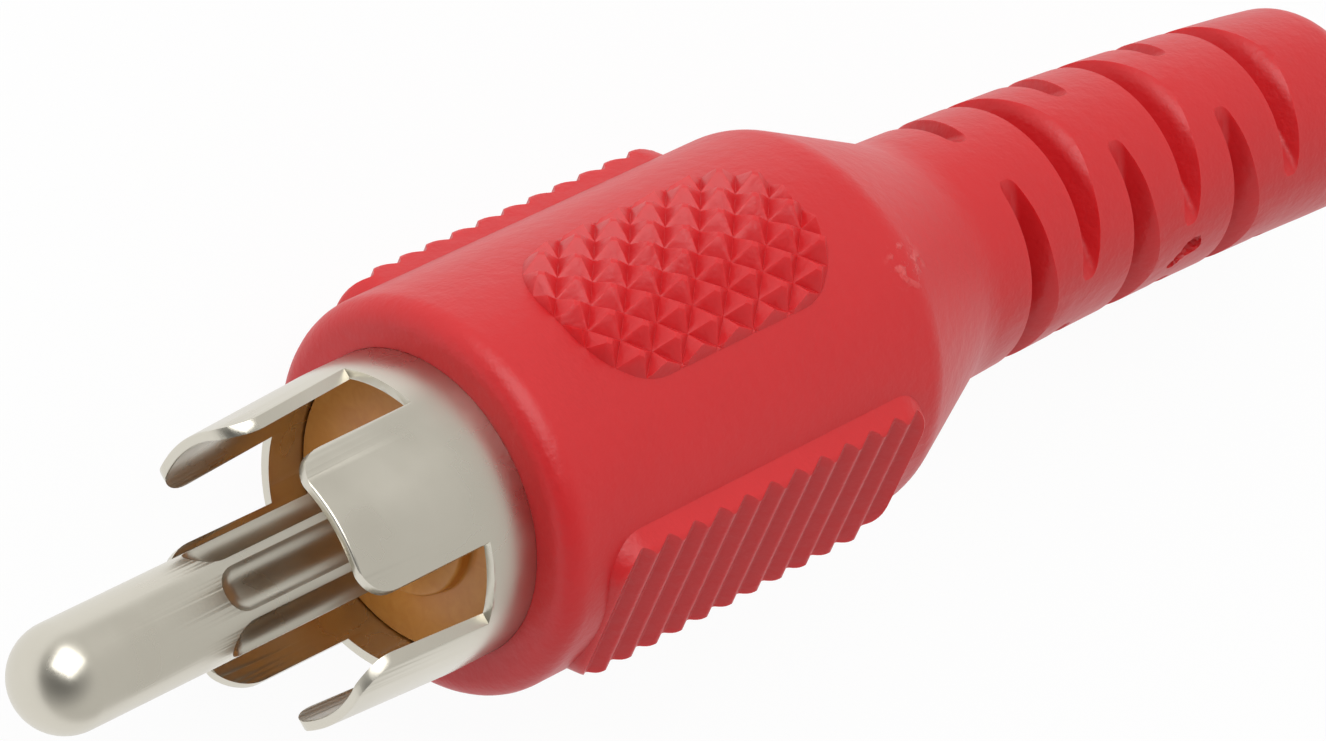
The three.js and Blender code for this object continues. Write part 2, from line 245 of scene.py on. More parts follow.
def laid(piece, node, smooth=38):
    """Puts the piece at rest in the place of the frame's node and shades the piece
    smooth up to this angle in degrees."""
    only(piece)
    piece.rotation_euler.x = -ROLL
    piece.location = (FACE_X, 0, AXIS_Z)
    bpy.ops.object.transform_apply()
    group = piece.vertex_groups.new(name="set")
    for vertex in piece.data.vertices:
        along = (vertex.co.x - FACE_X) / MM - BEND_START
        share = max(0.0, along) / (BEND_END - BEND_START)
        group.add([vertex.index], min(1.0, share ** 2), "REPLACE")
    step = piece.modifiers.new("set", "DISPLACE")
    step.direction = "Y"
    step.mid_level = 0
    step.strength = -BEND * (BEND_END - BEND_START) ** 2 * MM
    step.vertex_group = group.name
    bpy.ops.object.modifier_apply(modifier=step.name)
    piece.vertex_groups.clear()
    bpy.ops.object.shade_smooth_by_angle(angle=math.radians(smooth))
    flat = piece.modifiers.new("flat faces", "WEIGHTED_NORMAL")
    flat.keep_sharp = True
    bpy.ops.object.modifier_apply(modifier=flat.name)
    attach(piece, "root")
    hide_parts(node)
    print("%-18s %6d faces" % (piece.name, len(piece.data.polygons)))
    return piece


# %% [markdown]
# ## The centre pin
#
# The pin is turned from brass rod with a round nose. Six flutes are pressed into it
# between the nose and the insulator. Each flute tool is a rod with round ends: a cylinder
# whose two rims are bevelled by almost its own radius.

# %% Flute tool
FLUTES = 6
FLUTE_FRONT = -8.6
FLUTE_REAR = -1.0
FLUTE_R = 0.85
FLUTE_DEPTH = 0.48
FLUTE_TURN = 56
FLUTE_END = FLUTE_R * 0.97


def flute_tool():
    """One round-ended rod that lies along the pin's side, on +Y."""
    bpy.ops.object.select_all(action="DESELECT")
    middle = (FLUTE_FRONT + FLUTE_REAR) / 2
    bpy.ops.mesh.primitive_cylinder_add(
        vertices=48, radius=FLUTE_R * MM, depth=(FLUTE_REAR - FLUTE_FRONT) * MM,
        rotation=(0, math.pi / 2, 0))
    tool = bpy.context.object
    bpy.ops.object.transform_apply()
    softened(tool, width=FLUTE_END, angle=60, segments=8)
    tool.location = (middle * MM, (PIN_R - FLUTE_DEPTH + FLUTE_R) * MM, 0)
    only(tool)
    bpy.ops.object.transform_apply()
    return tool


# %% Turned pin
FLANGE_R = 2.2
FLANGE_T = 0.6
FLANGE_ROUND = 0.08
REAR_ROUND = 0.15
NOSE_ROUND = PIN_R * 0.999
flange_front = SHOULDER + FIT
flange_rear = flange_front + FLANGE_T
pin = spun("pin", rounded([
    (PIN_TIP, 0), (PIN_TIP, PIN_R, NOSE_ROUND),
    (flange_front, PIN_R), (flange_front, FLANGE_R, FLANGE_ROUND),
    (flange_rear, FLANGE_R, FLANGE_ROUND), (flange_rear, PIN_R),
    (PIN_REAR, PIN_R, REAR_ROUND), (PIN_REAR, 0),
], steps=16))
print("turned pin", len(pin.data.polygons), "faces")

# %% Flutes and wire hole
WIRE_R = 0.52
WIRE_FRONT = -9.0
first_flute = flute_tool()
flutes = [turned_copy(first_flute, FLUTE_TURN + 360 / FLUTES * i) for i in range(FLUTES)]
bpy.data.meshes.remove(first_flute.data)
hole_front = WIRE_FRONT - FIT
hole_end = PIN_REAR + OUTSIDE
wire_hole = spun("wire hole", [
    (hole_front, 0), (hole_front, WIRE_R + FIT), (hole_end, WIRE_R + FIT), (hole_end, 0),
], steps=32)
worked(pin, flutes + [wire_hole])
softened(pin, width=0.09, angle=28, segments=3)
laid(pin, "centre_pin")

# %% [markdown]
# ## The ground shell
#
# The shell is pressed from sheet: a ring with four petals that spring against the jack.
# It is a spun wall. What is kept of it is the ring behind the slots and four rounded
# blades, joined into one tool. A fine bevel gives the cut edges their bright line.

# %% Petals and ring to keep
PETALS = 4
PETAL_TIP = -6.2
PETAL_TIP_R = 4.4
PETAL_HALF_WIDTH = 2.2
PETAL_CORNER = 1.15
PETAL_TURN = 22.7
PETAL_SWEEP = 12.0
BLADE_REAR = 1.0
BLADE_SPARE = 0.01
SLOT_BOTTOM = -1.65
NECK_R = 3.0
NECK_REAR = 4.0


def petal_blade():
    """A blade over one petal, facing up, with round front corners."""
    bpy.ops.object.select_all(action="DESELECT")
    front = PETAL_TIP - BLADE_SPARE
    bpy.ops.mesh.primitive_plane_add(
        size=1, location=((front + BLADE_REAR) / 2 * MM, 0, 0.5 * MM))
    blade = bpy.context.object
    blade.scale = ((BLADE_REAR - front) * MM, 2 * PETAL_HALF_WIDTH * MM, 1)
    bpy.ops.object.transform_apply()
    bpy.ops.object.mode_set(mode="EDIT")
    bpy.ops.mesh.bevel(offset=PETAL_CORNER * MM, segments=10, affect="VERTICES")
    up = (0, 0, SHELL_R * MM)
    bpy.ops.mesh.extrude_region_move(TRANSFORM_OT_translate={"value": up})
    bpy.ops.object.mode_set(mode="OBJECT")
    return tidied(blade)


# %% Spun sheet
inner = SHELL_R - SHELL_T
tip_inner = PETAL_TIP_R - SHELL_T
edge = SHELL_T * 0.3
shoulder_rear = SHOULDER + SHELL_T
neck_inner = NECK_R - SHELL_T
shell = spun("ground_shell_sheet", closed(rounded([
    (PETAL_TIP, tip_inner, edge), (PETAL_TIP, PETAL_TIP_R, edge), (SLOT_BOTTOM, SHELL_R, PETAL_SWEEP),
    (shoulder_rear, SHELL_R, SHELL_T), (shoulder_rear, NECK_R),
    (NECK_REAR, NECK_R, edge), (NECK_REAR, neck_inner, edge),
    (SHOULDER, neck_inner), (SHOULDER, inner), (SLOT_BOTTOM, inner),
])), steps=144)
print("spun sheet", len(shell.data.polygons), "faces")

# %% Petals
ring_r = SHELL_R + OUTSIDE
ring_rear = NECK_REAR + OUTSIDE
keep = spun("kept ring", [
    (SLOT_BOTTOM, 0), (SLOT_BOTTOM, ring_r), (ring_rear, ring_r), (ring_rear, 0),
], steps=48)
first_blade = petal_blade()
blades = [turned_copy(first_blade, PETAL_TURN + 360 / PETALS * i) for i in range(PETALS)]
bpy.data.meshes.remove(first_blade.data)
worked(keep, blades, "UNION")
worked(shell, [keep], "INTERSECT")
softened(shell, width=0.06, angle=50)
print("shell with petals", len(shell.data.polygons), "faces")

# %% Solder tail
TAIL_REAR = 10.3
TAIL_WIDTH = 1.6
TAIL_T = 0.3
TAIL_OVERLAP = 0.5
bpy.ops.object.select_all(action="DESELECT")
tail_front = NECK_REAR - TAIL_OVERLAP
bpy.ops.mesh.primitive_cube_add(
    size=1, location=((TAIL_REAR + tail_front) / 2 * MM, 0, (NECK_R - SHELL_T / 2) * MM))
tail = bpy.context.object
tail.scale = ((TAIL_REAR - tail_front) * MM, TAIL_WIDTH * MM, TAIL_T * MM)
bpy.ops.object.transform_apply()
softened(tail, width=0.04, angle=60)
worked(shell, [tail], "UNION")
laid(shell, "ground_shell")

# %% [markdown]
# ## The insulator
#
# A disc of amber-brown board keeps the pin and the shell apart. It is spun with a low
# boss round the pin.

# %% Insulator
DISC_FRONT = -0.35
BOSS_FRONT = -0.8
BOSS_R = 2.5
HOLE_ROUND = 0.04
BOSS_ROUND = 0.12
BOSS_FOOT = 0.1
DISC_ROUND = 0.06
disc_r = inner - FIT
hole_r = PIN_R + FIT
disc_rear = SHOULDER - FIT
insulator = spun("insulator_disc", closed(rounded([
    (BOSS_FRONT, hole_r, HOLE_ROUND), (BOSS_FRONT, BOSS_R, BOSS_ROUND), (DISC_FRONT, BOSS_R, BOSS_FOOT),
    (DISC_FRONT, disc_r, DISC_ROUND), (disc_rear, disc_r), (disc_rear, hole_r),
])))
laid(insulator, "insulator")

# %% [markdown]
# ## The pads of the grip
#
# The body carries four pads: two with twelve leaning ribs and two with rows of small
# pyramids. A pad starts as a flat plan with bevelled corners that is pulled up and
# narrowed a little, because a mould needs draft. Its top is then cut away above the ribs
# or above the pyramids. The rib tool is kept, because it also cuts the body between the
# ribs, where the round grip would stand out of the grooves.

# %% Pad block
DRAFT = 0.3
PAD_BASE = 5.0


def pad_block(name, front, rear, half, corner, top):
    """A drafted block with round corners that stands in the body and faces up."""
    bpy.ops.object.select_all(action="DESELECT")
    length = (rear - front) / 2
    bpy.ops.mesh.primitive_plane_add(size=2, location=((front + rear) / 2 * MM, 0, PAD_BASE * MM))
    block = bpy.context.object
    block.name = name
    block.scale = (length * MM, half * MM, 1)
    bpy.ops.object.transform_apply()
    bpy.ops.object.mode_set(mode="EDIT")
    bpy.ops.mesh.bevel(offset=corner * MM, segments=12, affect="VERTICES")
    up = (0, 0, (top - PAD_BASE) * MM)
    bpy.ops.mesh.extrude_region_move(TRANSFORM_OT_translate={"value": up})
    narrowing = DRAFT * (top - PAD_BASE)
    bpy.ops.transform.resize(
        value=(1 - narrowing / length, 1 - narrowing / half, 1),
        center_override=((front + rear) / 2 * MM, 0, top * MM))
    bpy.ops.object.mode_set(mode="OBJECT")
    return tidied(block)


# %% Prism from an outline
def prism(name, points, half_width):
    """A solid with this outline in the XZ plane, as wide to each side of it."""
    piece = drawn(name, closed(points))
    piece.location.y = -half_width * MM
    bpy.ops.object.transform_apply()
    bpy.ops.object.mode_set(mode="EDIT")
    bpy.ops.mesh.select_all(action="SELECT")
    bpy.ops.mesh.remove_doubles(threshold=WELD)
    bpy.ops.mesh.edge_face_add()
    across = (0, 2 * half_width * MM, 0)
    bpy.ops.mesh.extrude_region_move(TRANSFORM_OT_translate={"value": across})
    bpy.ops.object.mode_set(mode="OBJECT")
    return tidied(piece)


# %% [markdown]
# ### Ribs
#
# The ribs are leaning teeth with rounded crests, steep in front and gentle behind, that
# run straight across the pad. The block's upper edge is rounded before they are cut, so
# that their ends roll over at its sides. Behind the last crest a short land stays whole.

# %% Outline of the ribs
RIB_FRONT = 1.28
RIB_REAR = 14.75
RIB_HALF = 2.93
RIB_CORNER = 1.3
RIB_CREST = 6.1
RIB_DEPTH = 0.36
RIB_PITCH = 1.045
RIB_RISE = 0.37
RIBS = 12
RIB_FIRST = 1.755
VALLEY_ROUND = 0.12
CREST_ROUND = 0.16
LAND = 0.3
LAND_RISE = 0.02
TIP_DROP = 0.03
rib_tips = [RIB_FIRST + (i + 1) * RIB_PITCH for i in range(RIBS)]
ribs_front = rib_tips[0] - RIB_PITCH
ribs_rear = rib_tips[-1] + LAND
above_ribs = [(ribs_front, RIB_CREST + OUTSIDE), (ribs_front, RIB_CREST - TIP_DROP)]
for tip in rib_tips:
    above_ribs.append((tip - RIB_RISE, RIB_CREST - RIB_DEPTH, VALLEY_ROUND))
    above_ribs.append((tip, RIB_CREST, CREST_ROUND))
above_ribs += [(ribs_rear, RIB_CREST + LAND_RISE), (ribs_rear, RIB_CREST + OUTSIDE)]
print(len(rib_tips), "ribs from", round(ribs_front, 2), "to", round(rib_tips[-1], 2), "mm")

# %% Ribbed pad
ribbed = pad_block("ribbed pad", RIB_FRONT, RIB_REAR, RIB_HALF, RIB_CORNER, RIB_CREST)
softened(ribbed, width=0.24, angle=60, segments=5)
rib_tool = prism("above ribs", rounded(above_ribs, 5), RIB_HALF + OUTSIDE / 2)
worked(ribbed, [turned_copy(rib_tool, 0)])
print("ribbed pad", len(ribbed.data.polygons), "faces")

# %% [markdown]
# ### Pyramids
#
# The pyramids stand in rows at 45 degrees. A grid is turned by an eighth of a turn and
# pulled up into a slab. Each face of its under side is then inset and raised until only a
# small tip is left, so that the slab is the space above the pyramids. A Simple Deform
# modifier wraps it round the plug's axis, and the tool is taken away from a tall block.

# %% Pyramid tool
PYR_FRONT = 2.78
PYR_REAR = 13.27
PYR_HALF = 2.82
PYR_CORNER = 2.4
PYR_SPARE = 0.4
PYR_CREST = 6.5
PYR_DEPTH = 0.5
PYR_PITCH = 1.03
PYR_TIP = 0.18
PYR_CELLS = 13
PYR_ROOF = 1.5


def above_pyramids():
    """The flat tool: a slab whose under side is a field of hollow pyramids."""
    bpy.ops.object.select_all(action="DESELECT")
    bpy.ops.mesh.primitive_grid_add(
        x_subdivisions=PYR_CELLS, y_subdivisions=PYR_CELLS, size=PYR_CELLS * PYR_PITCH * MM,
        rotation=(0, 0, math.pi / 4))
    tool = bpy.context.object
    tool.name = "above pyramids"
    tool.location.z = -PYR_DEPTH * MM
    bpy.ops.object.transform_apply()
    bpy.ops.object.mode_set(mode="EDIT")
    bpy.ops.mesh.select_all(action="SELECT")
    roof = (0, 0, (PYR_DEPTH + PYR_ROOF) * MM)
    bpy.ops.mesh.extrude_region_move(TRANSFORM_OT_translate={"value": roof})
    bpy.ops.object.mode_set(mode="OBJECT")
    tidied(tool)
    select_faces(tool, lambda face: face.normal.z < -0.5)
    bpy.ops.object.mode_set(mode="EDIT")
    bpy.ops.mesh.inset(
        thickness=(PYR_PITCH - PYR_TIP) / 2 * MM, depth=(TIP_DROP - PYR_DEPTH) * MM,
        use_individual=True)
    bpy.ops.object.mode_set(mode="OBJECT")
    return tool


# %% Pyramid pad
def wrapped(tool, radius):
    """Wraps a flat tool that faces up round the X axis at this radius."""
    only(tool)
    tool.rotation_euler.x = math.pi / 2
    bpy.ops.object.transform_apply()
    step = tool.modifiers.new("wrap", "SIMPLE_DEFORM")
    step.deform_method = "BEND"
    step.deform_axis = "X"
    step.angle = tool.dimensions.z / (radius * MM)
    bpy.ops.object.modifier_apply(modifier=step.name)
    tool.location.y = -radius * MM
    bpy.ops.object.transform_apply()
    tool.rotation_euler.x = -math.pi / 2
    bpy.ops.object.transform_apply()
    return tool


pyramid_tool = above_pyramids()
wrapped(pyramid_tool, PYR_CREST)
pyramid_tool.location.x = (PYR_FRONT + PYR_REAR) / 2 * MM
only(pyramid_tool)
bpy.ops.object.transform_apply()
pyramid = pad_block(
    "pyramid pad", PYR_FRONT, PYR_REAR, PYR_HALF, PYR_CORNER, PYR_CREST + PYR_SPARE)
worked(pyramid, [pyramid_tool])
softened(pyramid, width=0.05, angle=25)
print("pyramid pad", len(pyramid.data.polygons), "faces")

# %% [markdown]
# ## The strain relief's slots
#
# Pairs of slots open up and down, then to both sides, in turn, so that the relief bends
# every way and the cable still sits in a closed core. A slot has a crisp front edge, and
# its rear wall rolls over into the skin with a large round. It is deepest in its middle
# and runs out narrow and pointed at both ends. Its tool is a ring with that outline, spun
# about the plug's axis and then moved aside, so that only one side of it bites.

# %% Slot tools
SLOT_PAIRS = 6
SLOT_FIRST = 22.4
SLOT_PITCH = 2.42
SLOT_FRONT = 0.62
SLOT_LEAN = 0.55
SLOT_FLOOR_R = 2.35
SLOT_ARC_R = 5.5
SLOT_CORNER = 0.26
SLOT_ROLL = 0.75
SLOT_TOP = 2.0
RELIEF_START = 1.0
relief_front = CONE_REAR + RELIEF_START


def relief_r(x):
    """The strain relief's outer radius there."""
    share = (x - relief_front) / (RELIEF_REAR - relief_front)
    return RELIEF_R + (RELIEF_REAR_R - RELIEF_R) * share


def slot_tool(x):
    """The space of one slot that opens upwards."""
    front = x - SLOT_FRONT
    open_rear = x + 2 * SLOT_ROLL
    skin = SLOT_ARC_R + relief_r(x) - SLOT_FLOOR_R
    ring = spun("slot ring", closed(rounded([
        (front, SLOT_ARC_R, SLOT_CORNER), (front, skin + SLOT_TOP), (open_rear, skin + SLOT_TOP),
        (open_rear, skin), (x + SLOT_LEAN, skin, SLOT_ROLL), (x, SLOT_ARC_R, SLOT_CORNER),
    ], 8)), steps=128)
    ring.location.z = (SLOT_FLOOR_R - SLOT_ARC_R) * MM
    bpy.ops.object.transform_apply()
    return ring


# %% [markdown]
# ## The overmoulding
#
# The red body is spun, gets its four pads and loses the slots and the cavity that holds
# the shell, the inner mould and the cable.

# %% Body
ROWS = 16
FACE_ROUND = 0.75
GRIP_ROUND = 1.6
CONE_ROUND = 3.6
CONE_RISE = 0.05
MOUTH_TAPER = 1.0
MOUTH_R = 2.25
MOUTH_ROUND = 1.4
MOUTH_LIP = 0.3
MOUTH_RUN = 0.7
relief_length = RELIEF_REAR - MOUTH_TAPER - MOUTH_RUN - relief_front
relief_rows = [relief_front + relief_length * row / ROWS for row in range(1, ROWS)]
body = spun("overmould", rounded([
    (0, 0), (0, BODY_R, FACE_ROUND), (CONE_FRONT, BODY_R, GRIP_ROUND),
    (CONE_REAR, RELIEF_R + CONE_RISE, CONE_ROUND),
    *[(x, relief_r(x)) for x in relief_rows],
    (RELIEF_REAR - MOUTH_TAPER, RELIEF_REAR_R, MOUTH_ROUND), (RELIEF_REAR, MOUTH_R, MOUTH_LIP),
    (RELIEF_REAR, 0),
], 8), steps=128)
print("spun body", len(body.data.polygons), "faces")

# %% Pads on the body
PYRAMID_TURNS = (0, 180)
RIBBED_TURNS = (90, 270)
worked(body, [turned_copy(rib_tool, turn) for turn in RIBBED_TURNS])
pads = [turned_copy(pyramid, turn) for turn in PYRAMID_TURNS]
pads += [turned_copy(ribbed, turn) for turn in RIBBED_TURNS]
for pattern in (pyramid, ribbed, rib_tool):
    bpy.data.meshes.remove(pattern.data)
worked(body, pads, "UNION")
print("body with pads", len(body.data.polygons), "faces")

# %% Cut slots
for pair in range(SLOT_PAIRS):
    slot = slot_tool(SLOT_FIRST + pair * SLOT_PITCH)
    turn = 90 if pair % 2 == 0 else 0
    worked(body, [turned_copy(slot, turn), turned_copy(slot, turn + 180)])
    bpy.data.meshes.remove(slot.data)
print("body with slots", len(body.data.polygons), "faces")

# %% Cavity
MOULD_R = 4.35
MOULD_NECK_R = 2.6
MOULD_CONE_FRONT = 9.53
MOULD_CONE_REAR = 13.03
CABLE_STEPS = (BEND_START, 26, 32, 36)
shell_hole_r = SHELL_R + 0.01
mould_front = SHOULDER + SHELL_T + FIT
jacket_hole_r = JACKET_R + FIT
cavity = spun("cavity", [
    (-OUTSIDE, 0), (-OUTSIDE, shell_hole_r), (mould_front, shell_hole_r), (mould_front, MOULD_R + FIT),
    (MOULD_CONE_FRONT, MOULD_R + FIT), (MOULD_CONE_REAR, MOULD_NECK_R + FIT),
    (MOULD_CONE_REAR, jacket_hole_r), *[(x, jacket_hole_r) for x in CABLE_STEPS],
    (RELIEF_REAR + OUTSIDE, jacket_hole_r), (RELIEF_REAR + OUTSIDE, 0),
], steps=64)
worked(body, [cavity])
print("hollow body", len(body.data.polygons), "faces")

# %% [markdown]
# ### A nick
#
# Beside one slot's end the plug in the photograph has a small torn nick. Three lumps with
# shaken points are taken away there, before the body is laid in its place.

# %% Nick
NICK_ANGLE = 87
NICK_LUMPS = ((29.75, 0, 0.36), (29.4, 4, 0.24), (29.15, 8, 0.2))
LUMP_STRETCH = 1.4
LUMP_SHAKE = 0.12
LUMP_SINK = 0.02
for x, turn, size in NICK_LUMPS:
    bpy.ops.mesh.primitive_ico_sphere_add(subdivisions=3, radius=size * MM)
    lump = bpy.context.object
    lump.scale = (LUMP_STRETCH, 1, 1)
    lump.location = (x * MM, 0, (relief_r(x) - LUMP_SINK) * MM)
    bpy.ops.object.transform_apply()
    bpy.ops.object.mode_set(mode="EDIT")
    bpy.ops.transform.vertex_random(offset=size * LUMP_SHAKE * MM, uniform=1.0, seed=turn)
    bpy.ops.object.mode_set(mode="OBJECT")
    lump.rotation_euler.x = math.radians(NICK_ANGLE + turn)
    bpy.ops.object.transform_apply()
    worked(body, [lump])
laid(body, "plug_body", smooth=20)

# %% [markdown]
# ## The cable's end
#
# The strain relief's mouth shows the cut end of the cable: a black jacket, a shield of
# fine copper strands, white insulation and a stranded core. Jacket and insulation are
# tubes. A strand is spun once, moved off the axis, and its copies are turned round it.

# %% Cable sizes
CABLE_END = RELIEF_REAR - 1.0
DIELECTRIC_R = 0.97
SHIELD_R = 1.27
SHIELD_STRAND_R = 0.125
SHIELD_STRANDS = 27
CORE_STRAND_R = 0.172
CORE_STRANDS = 6
JACKET_FRONT = 10.6
SHIELD_FRONT = 9.0
CABLE_ROWS = 12


def cable_rows(front, radius):
    """Outline points along the cable, close enough to follow the relief's set."""
    step = (CABLE_END - BEND_START) / CABLE_ROWS
    inside = [(BEND_START + step * row, radius) for row in range(CABLE_ROWS)]
    return [(front, radius), *inside, (CABLE_END, radius)]


# %% Jacket and insulation
jacket = spun("jacket", closed([
    *cable_rows(JACKET_FRONT, JACKET_R), *reversed(cable_rows(JACKET_FRONT, SHIELD_R + FIT)),
]), steps=64)
laid(jacket, "cable_jacket")
insulation_front = PIN_REAR + FIT
insulation = spun("core_insulation", closed([
    *cable_rows(insulation_front, DIELECTRIC_R),
    *reversed(cable_rows(insulation_front, WIRE_R + FIT)),
]), steps=48)
laid(insulation, "dielectric")


# %% Strands
def strands(name, front, radius, ring_r, count, with_middle):
    """A ring of equal strands, with one more in the middle if wanted, as one piece."""
    middle = spun(name, [(front, 0), *cable_rows(front, radius), (CABLE_END, 0)], steps=12)
    outer = turned_copy(middle, 0)
    outer.location.z = ring_r * MM
    only(outer)
    bpy.ops.object.transform_apply()
    ring = [turned_copy(outer, 360 / count * i) for i in range(count)]
    bpy.data.meshes.remove(outer.data)
    if with_middle:
        ring.append(middle)
    else:
        bpy.data.meshes.remove(middle.data)
    only(ring[0])
    for strand in ring:
        strand.select_set(True)
    bpy.ops.object.join()
    ring[0].name = name
    return ring[0]


core = strands("core_strands", WIRE_FRONT, CORE_STRAND_R, 2 * CORE_STRAND_R, CORE_STRANDS, True)
laid(core, "centre_conductor")
shield_ring_r = SHIELD_R - SHIELD_STRAND_R
shield = strands("shield_strands", SHIELD_FRONT, SHIELD_STRAND_R, shield_ring_r, SHIELD_STRANDS, False)
laid(shield, "shield")

# %% [markdown]
# ## Finishes
#
# Every finish is named for the real material and built from nodes on Object coordinates,
# which are metres on these pieces, so a pattern of a given size has the scale
# 1 / (size * MM). Two helpers serve all of them: one turns a hex colour to linear light,
# the other adds a node with its settings and links.

# %% Colour and nodes
def linear(hex_colour):
    """An sRGB hex colour as the linear colour that nodes work in."""
    channels = [int(hex_colour[i:i + 2], 16) / 255 for i in (1, 3, 5)]
    curved = [c / 12.92 if c <= 0.04045 else ((c + 0.055) / 1.055) ** 2.4 for c in channels]
    return (*curved, 1)


def node(tree, kind, inputs, **settings):
    """Adds a node; an input is a value or the output socket that feeds it."""
    added = tree.nodes.new(kind)
    for name, value in settings.items():
        setattr(added, name, value)
    for name, value in inputs.items():
        if isinstance(value, bpy.types.NodeSocket):
            tree.links.new(value, added.inputs[name])
        else:
            added.inputs[name].default_value = value
    return added


def finish(name):
    """A new material; returns it with its node tree, shader and Object coordinates."""
    material = bpy.data.materials.new(name)
    material.use_nodes = True
    tree = material.node_tree
    place = node(tree, "ShaderNodeTexCoord", {}).outputs["Object"]
    return material, tree, tree.nodes["Principled BSDF"], place


def coated(material, *pieces):
    """Gives the pieces this material alone."""
    for piece in pieces:
        piece.data.materials.clear()
        piece.data.materials.append(material)
    print(material.name, "on", [piece.name for piece in pieces])


# %% [markdown]
# ### Moulded PVC
#
# The overmoulding is soft PVC, coloured all through. The mould's spark-eroded wall leaves
# a semi-matt grain over a slight orange peel, so highlights are broad and pale, while
# light that enters the plastic comes back as a clear red in grooves and slots. One pale
# scuff sits on the edge between grip and cone.

# %% Red PVC
PEEL = 0.45
GRAIN = 0.12
red, tree, shader, place = finish("moulded red PVC")
clouds = node(tree, "ShaderNodeTexNoise", {"Vector": place, "Scale": 1 / (4 * MM), "Detail": 3})
reds = node(tree, "ShaderNodeMix", {
    "Factor": clouds.outputs["Fac"], "A": linear("#C4161C"), "B": linear("#CE1C22")}, data_type="RGBA")
peel = node(tree, "ShaderNodeTexNoise", {"Vector": place, "Scale": 1 / (PEEL * MM), "Detail": 2})
grain = node(tree, "ShaderNodeTexNoise", {"Vector": place, "Scale": 1 / (GRAIN * MM), "Detail": 4})
peel_bump = node(tree, "ShaderNodeBump", {
    "Height": peel.outputs["Fac"], "Strength": 0.6, "Distance": 0.05 * MM})
grain_bump = node(tree, "ShaderNodeBump", {
    "Height": grain.outputs["Fac"], "Strength": 0.5, "Distance": 0.02 * MM,
    "Normal": peel_bump.outputs["Normal"]})
matt = node(tree, "ShaderNodeMapRange", {
    "Value": clouds.outputs["Fac"], "To Min": 0.38, "To Max": 0.48})
print("grain of", GRAIN, "mm over a peel of", PEEL, "mm")

# %% Scuff
SCUFF_X = 15.2
SCUFF_R = 5.8
SCUFF_TURN = math.radians(74)
scuff_y = SCUFF_R * math.cos(SCUFF_TURN) * MM
scuff_z = AXIS_Z + SCUFF_R * math.sin(SCUFF_TURN) * MM
scuff_place = (FACE_X + SCUFF_X * MM, scuff_y, scuff_z)
near = node(tree, "ShaderNodeVectorMath", {0: place, 1: scuff_place}, operation="DISTANCE")
inside = node(tree, "ShaderNodeMapRange", {
    "Value": near.outputs["Value"], "From Min": 0.2 * MM, "From Max": 1.0 * MM,
    "To Min": 0.8, "To Max": 0})
flecks = node(tree, "ShaderNodeTexNoise", {"Vector": place, "Scale": 1 / (0.3 * MM), "Detail": 3})
torn = node(tree, "ShaderNodeMapRange", {
    "Value": flecks.outputs["Fac"], "From Min": 0.5, "From Max": 0.62})
scuff = node(tree, "ShaderNodeMath", {
    0: inside.outputs["Result"], 1: torn.outputs["Result"]}, operation="MULTIPLY")
scuffed = node(tree, "ShaderNodeMix", {
    "Factor": scuff.outputs["Value"], "A": reds.outputs["Result"], "B": linear("#DC6A68"),
}, data_type="RGBA")
scuff_bump = node(tree, "ShaderNodeBump", {
    "Height": scuff.outputs["Value"], "Strength": 1, "Distance": 0.05 * MM,
    "Normal": grain_bump.outputs["Normal"]})
print("scuff at", [round(v / MM, 2) for v in scuff_place], "mm")

# %% Red shader
tree.links.new(scuffed.outputs["Result"], shader.inputs["Base Color"])
tree.links.new(matt.outputs["Result"], shader.inputs["Roughness"])
tree.links.new(scuff_bump.outputs["Normal"], shader.inputs["Normal"])
shader.inputs["IOR"].default_value = 1.53
shader.inputs["Subsurface Weight"].default_value = 0.4
shader.inputs["Subsurface Radius"].default_value = (1.0, 0.25, 0.2)
shader.inputs["Subsurface Scale"].default_value = 0.6 * MM
coated(red, body)

# %% [markdown]
# ### Nickel plate
#
# Pin and shell are brass under a thin bright nickel, a warm grey metal. The pin keeps the
# fine rings of the lathe and the shell the slight waviness of pressed sheet. Both are a
# little duller in patches, where they have been handled.

# %% Nickel on the turned pin and on the pressed shell
def nickel_plate(name, pattern_kind, pattern_inputs, bump, **pattern_settings):
    """Worn nickel plate with a fine pattern of its own kind in its surface."""
    material, tree, shader, place = finish(name)
    patches = node(tree, "ShaderNodeTexNoise", {"Vector": place, "Scale": 1 / (2.5 * MM), "Detail": 4})
    tone = node(tree, "ShaderNodeMix", {
        "Factor": patches.outputs["Fac"], "A": linear("#C8C3B6"), "B": linear("#D6D2C6"),
    }, data_type="RGBA")
    dull = node(tree, "ShaderNodeMapRange", {
        "Value": patches.outputs["Fac"], "From Min": 0.3, "From Max": 0.7,
        "To Min": 0.24, "To Max": 0.36})
    pattern = node(tree, pattern_kind, {"Vector": place, **pattern_inputs}, **pattern_settings)
    relief = node(tree, "ShaderNodeBump", {
        "Height": pattern.outputs["Fac"], "Strength": bump, "Distance": 0.01 * MM})
    tree.links.new(tone.outputs["Result"], shader.inputs["Base Color"])
    tree.links.new(dull.outputs["Result"], shader.inputs["Roughness"])
    tree.links.new(relief.outputs["Normal"], shader.inputs["Normal"])
    shader.inputs["Metallic"].default_value = 1
    return material


turned_nickel = nickel_plate("turned nickel-plated brass", "ShaderNodeTexWave", {
    "Scale": 1 / (0.5 * MM), "Distortion": 2.5, "Detail": 3}, 0.02, bands_direction="X")
pressed_nickel = nickel_plate("pressed nickel-plated brass", "ShaderNodeTexNoise", {
    "Scale": 1 / (1.8 * MM), "Detail": 2}, 0.3)
coated(turned_nickel, pin)
coated(pressed_nickel, shell)

# %% [markdown]
# ### Phenolic board
#
# The insulator is punched from paper board that is soaked in phenolic resin: amber to
# brown, fibrous in the plane of the board, with a dull gloss.

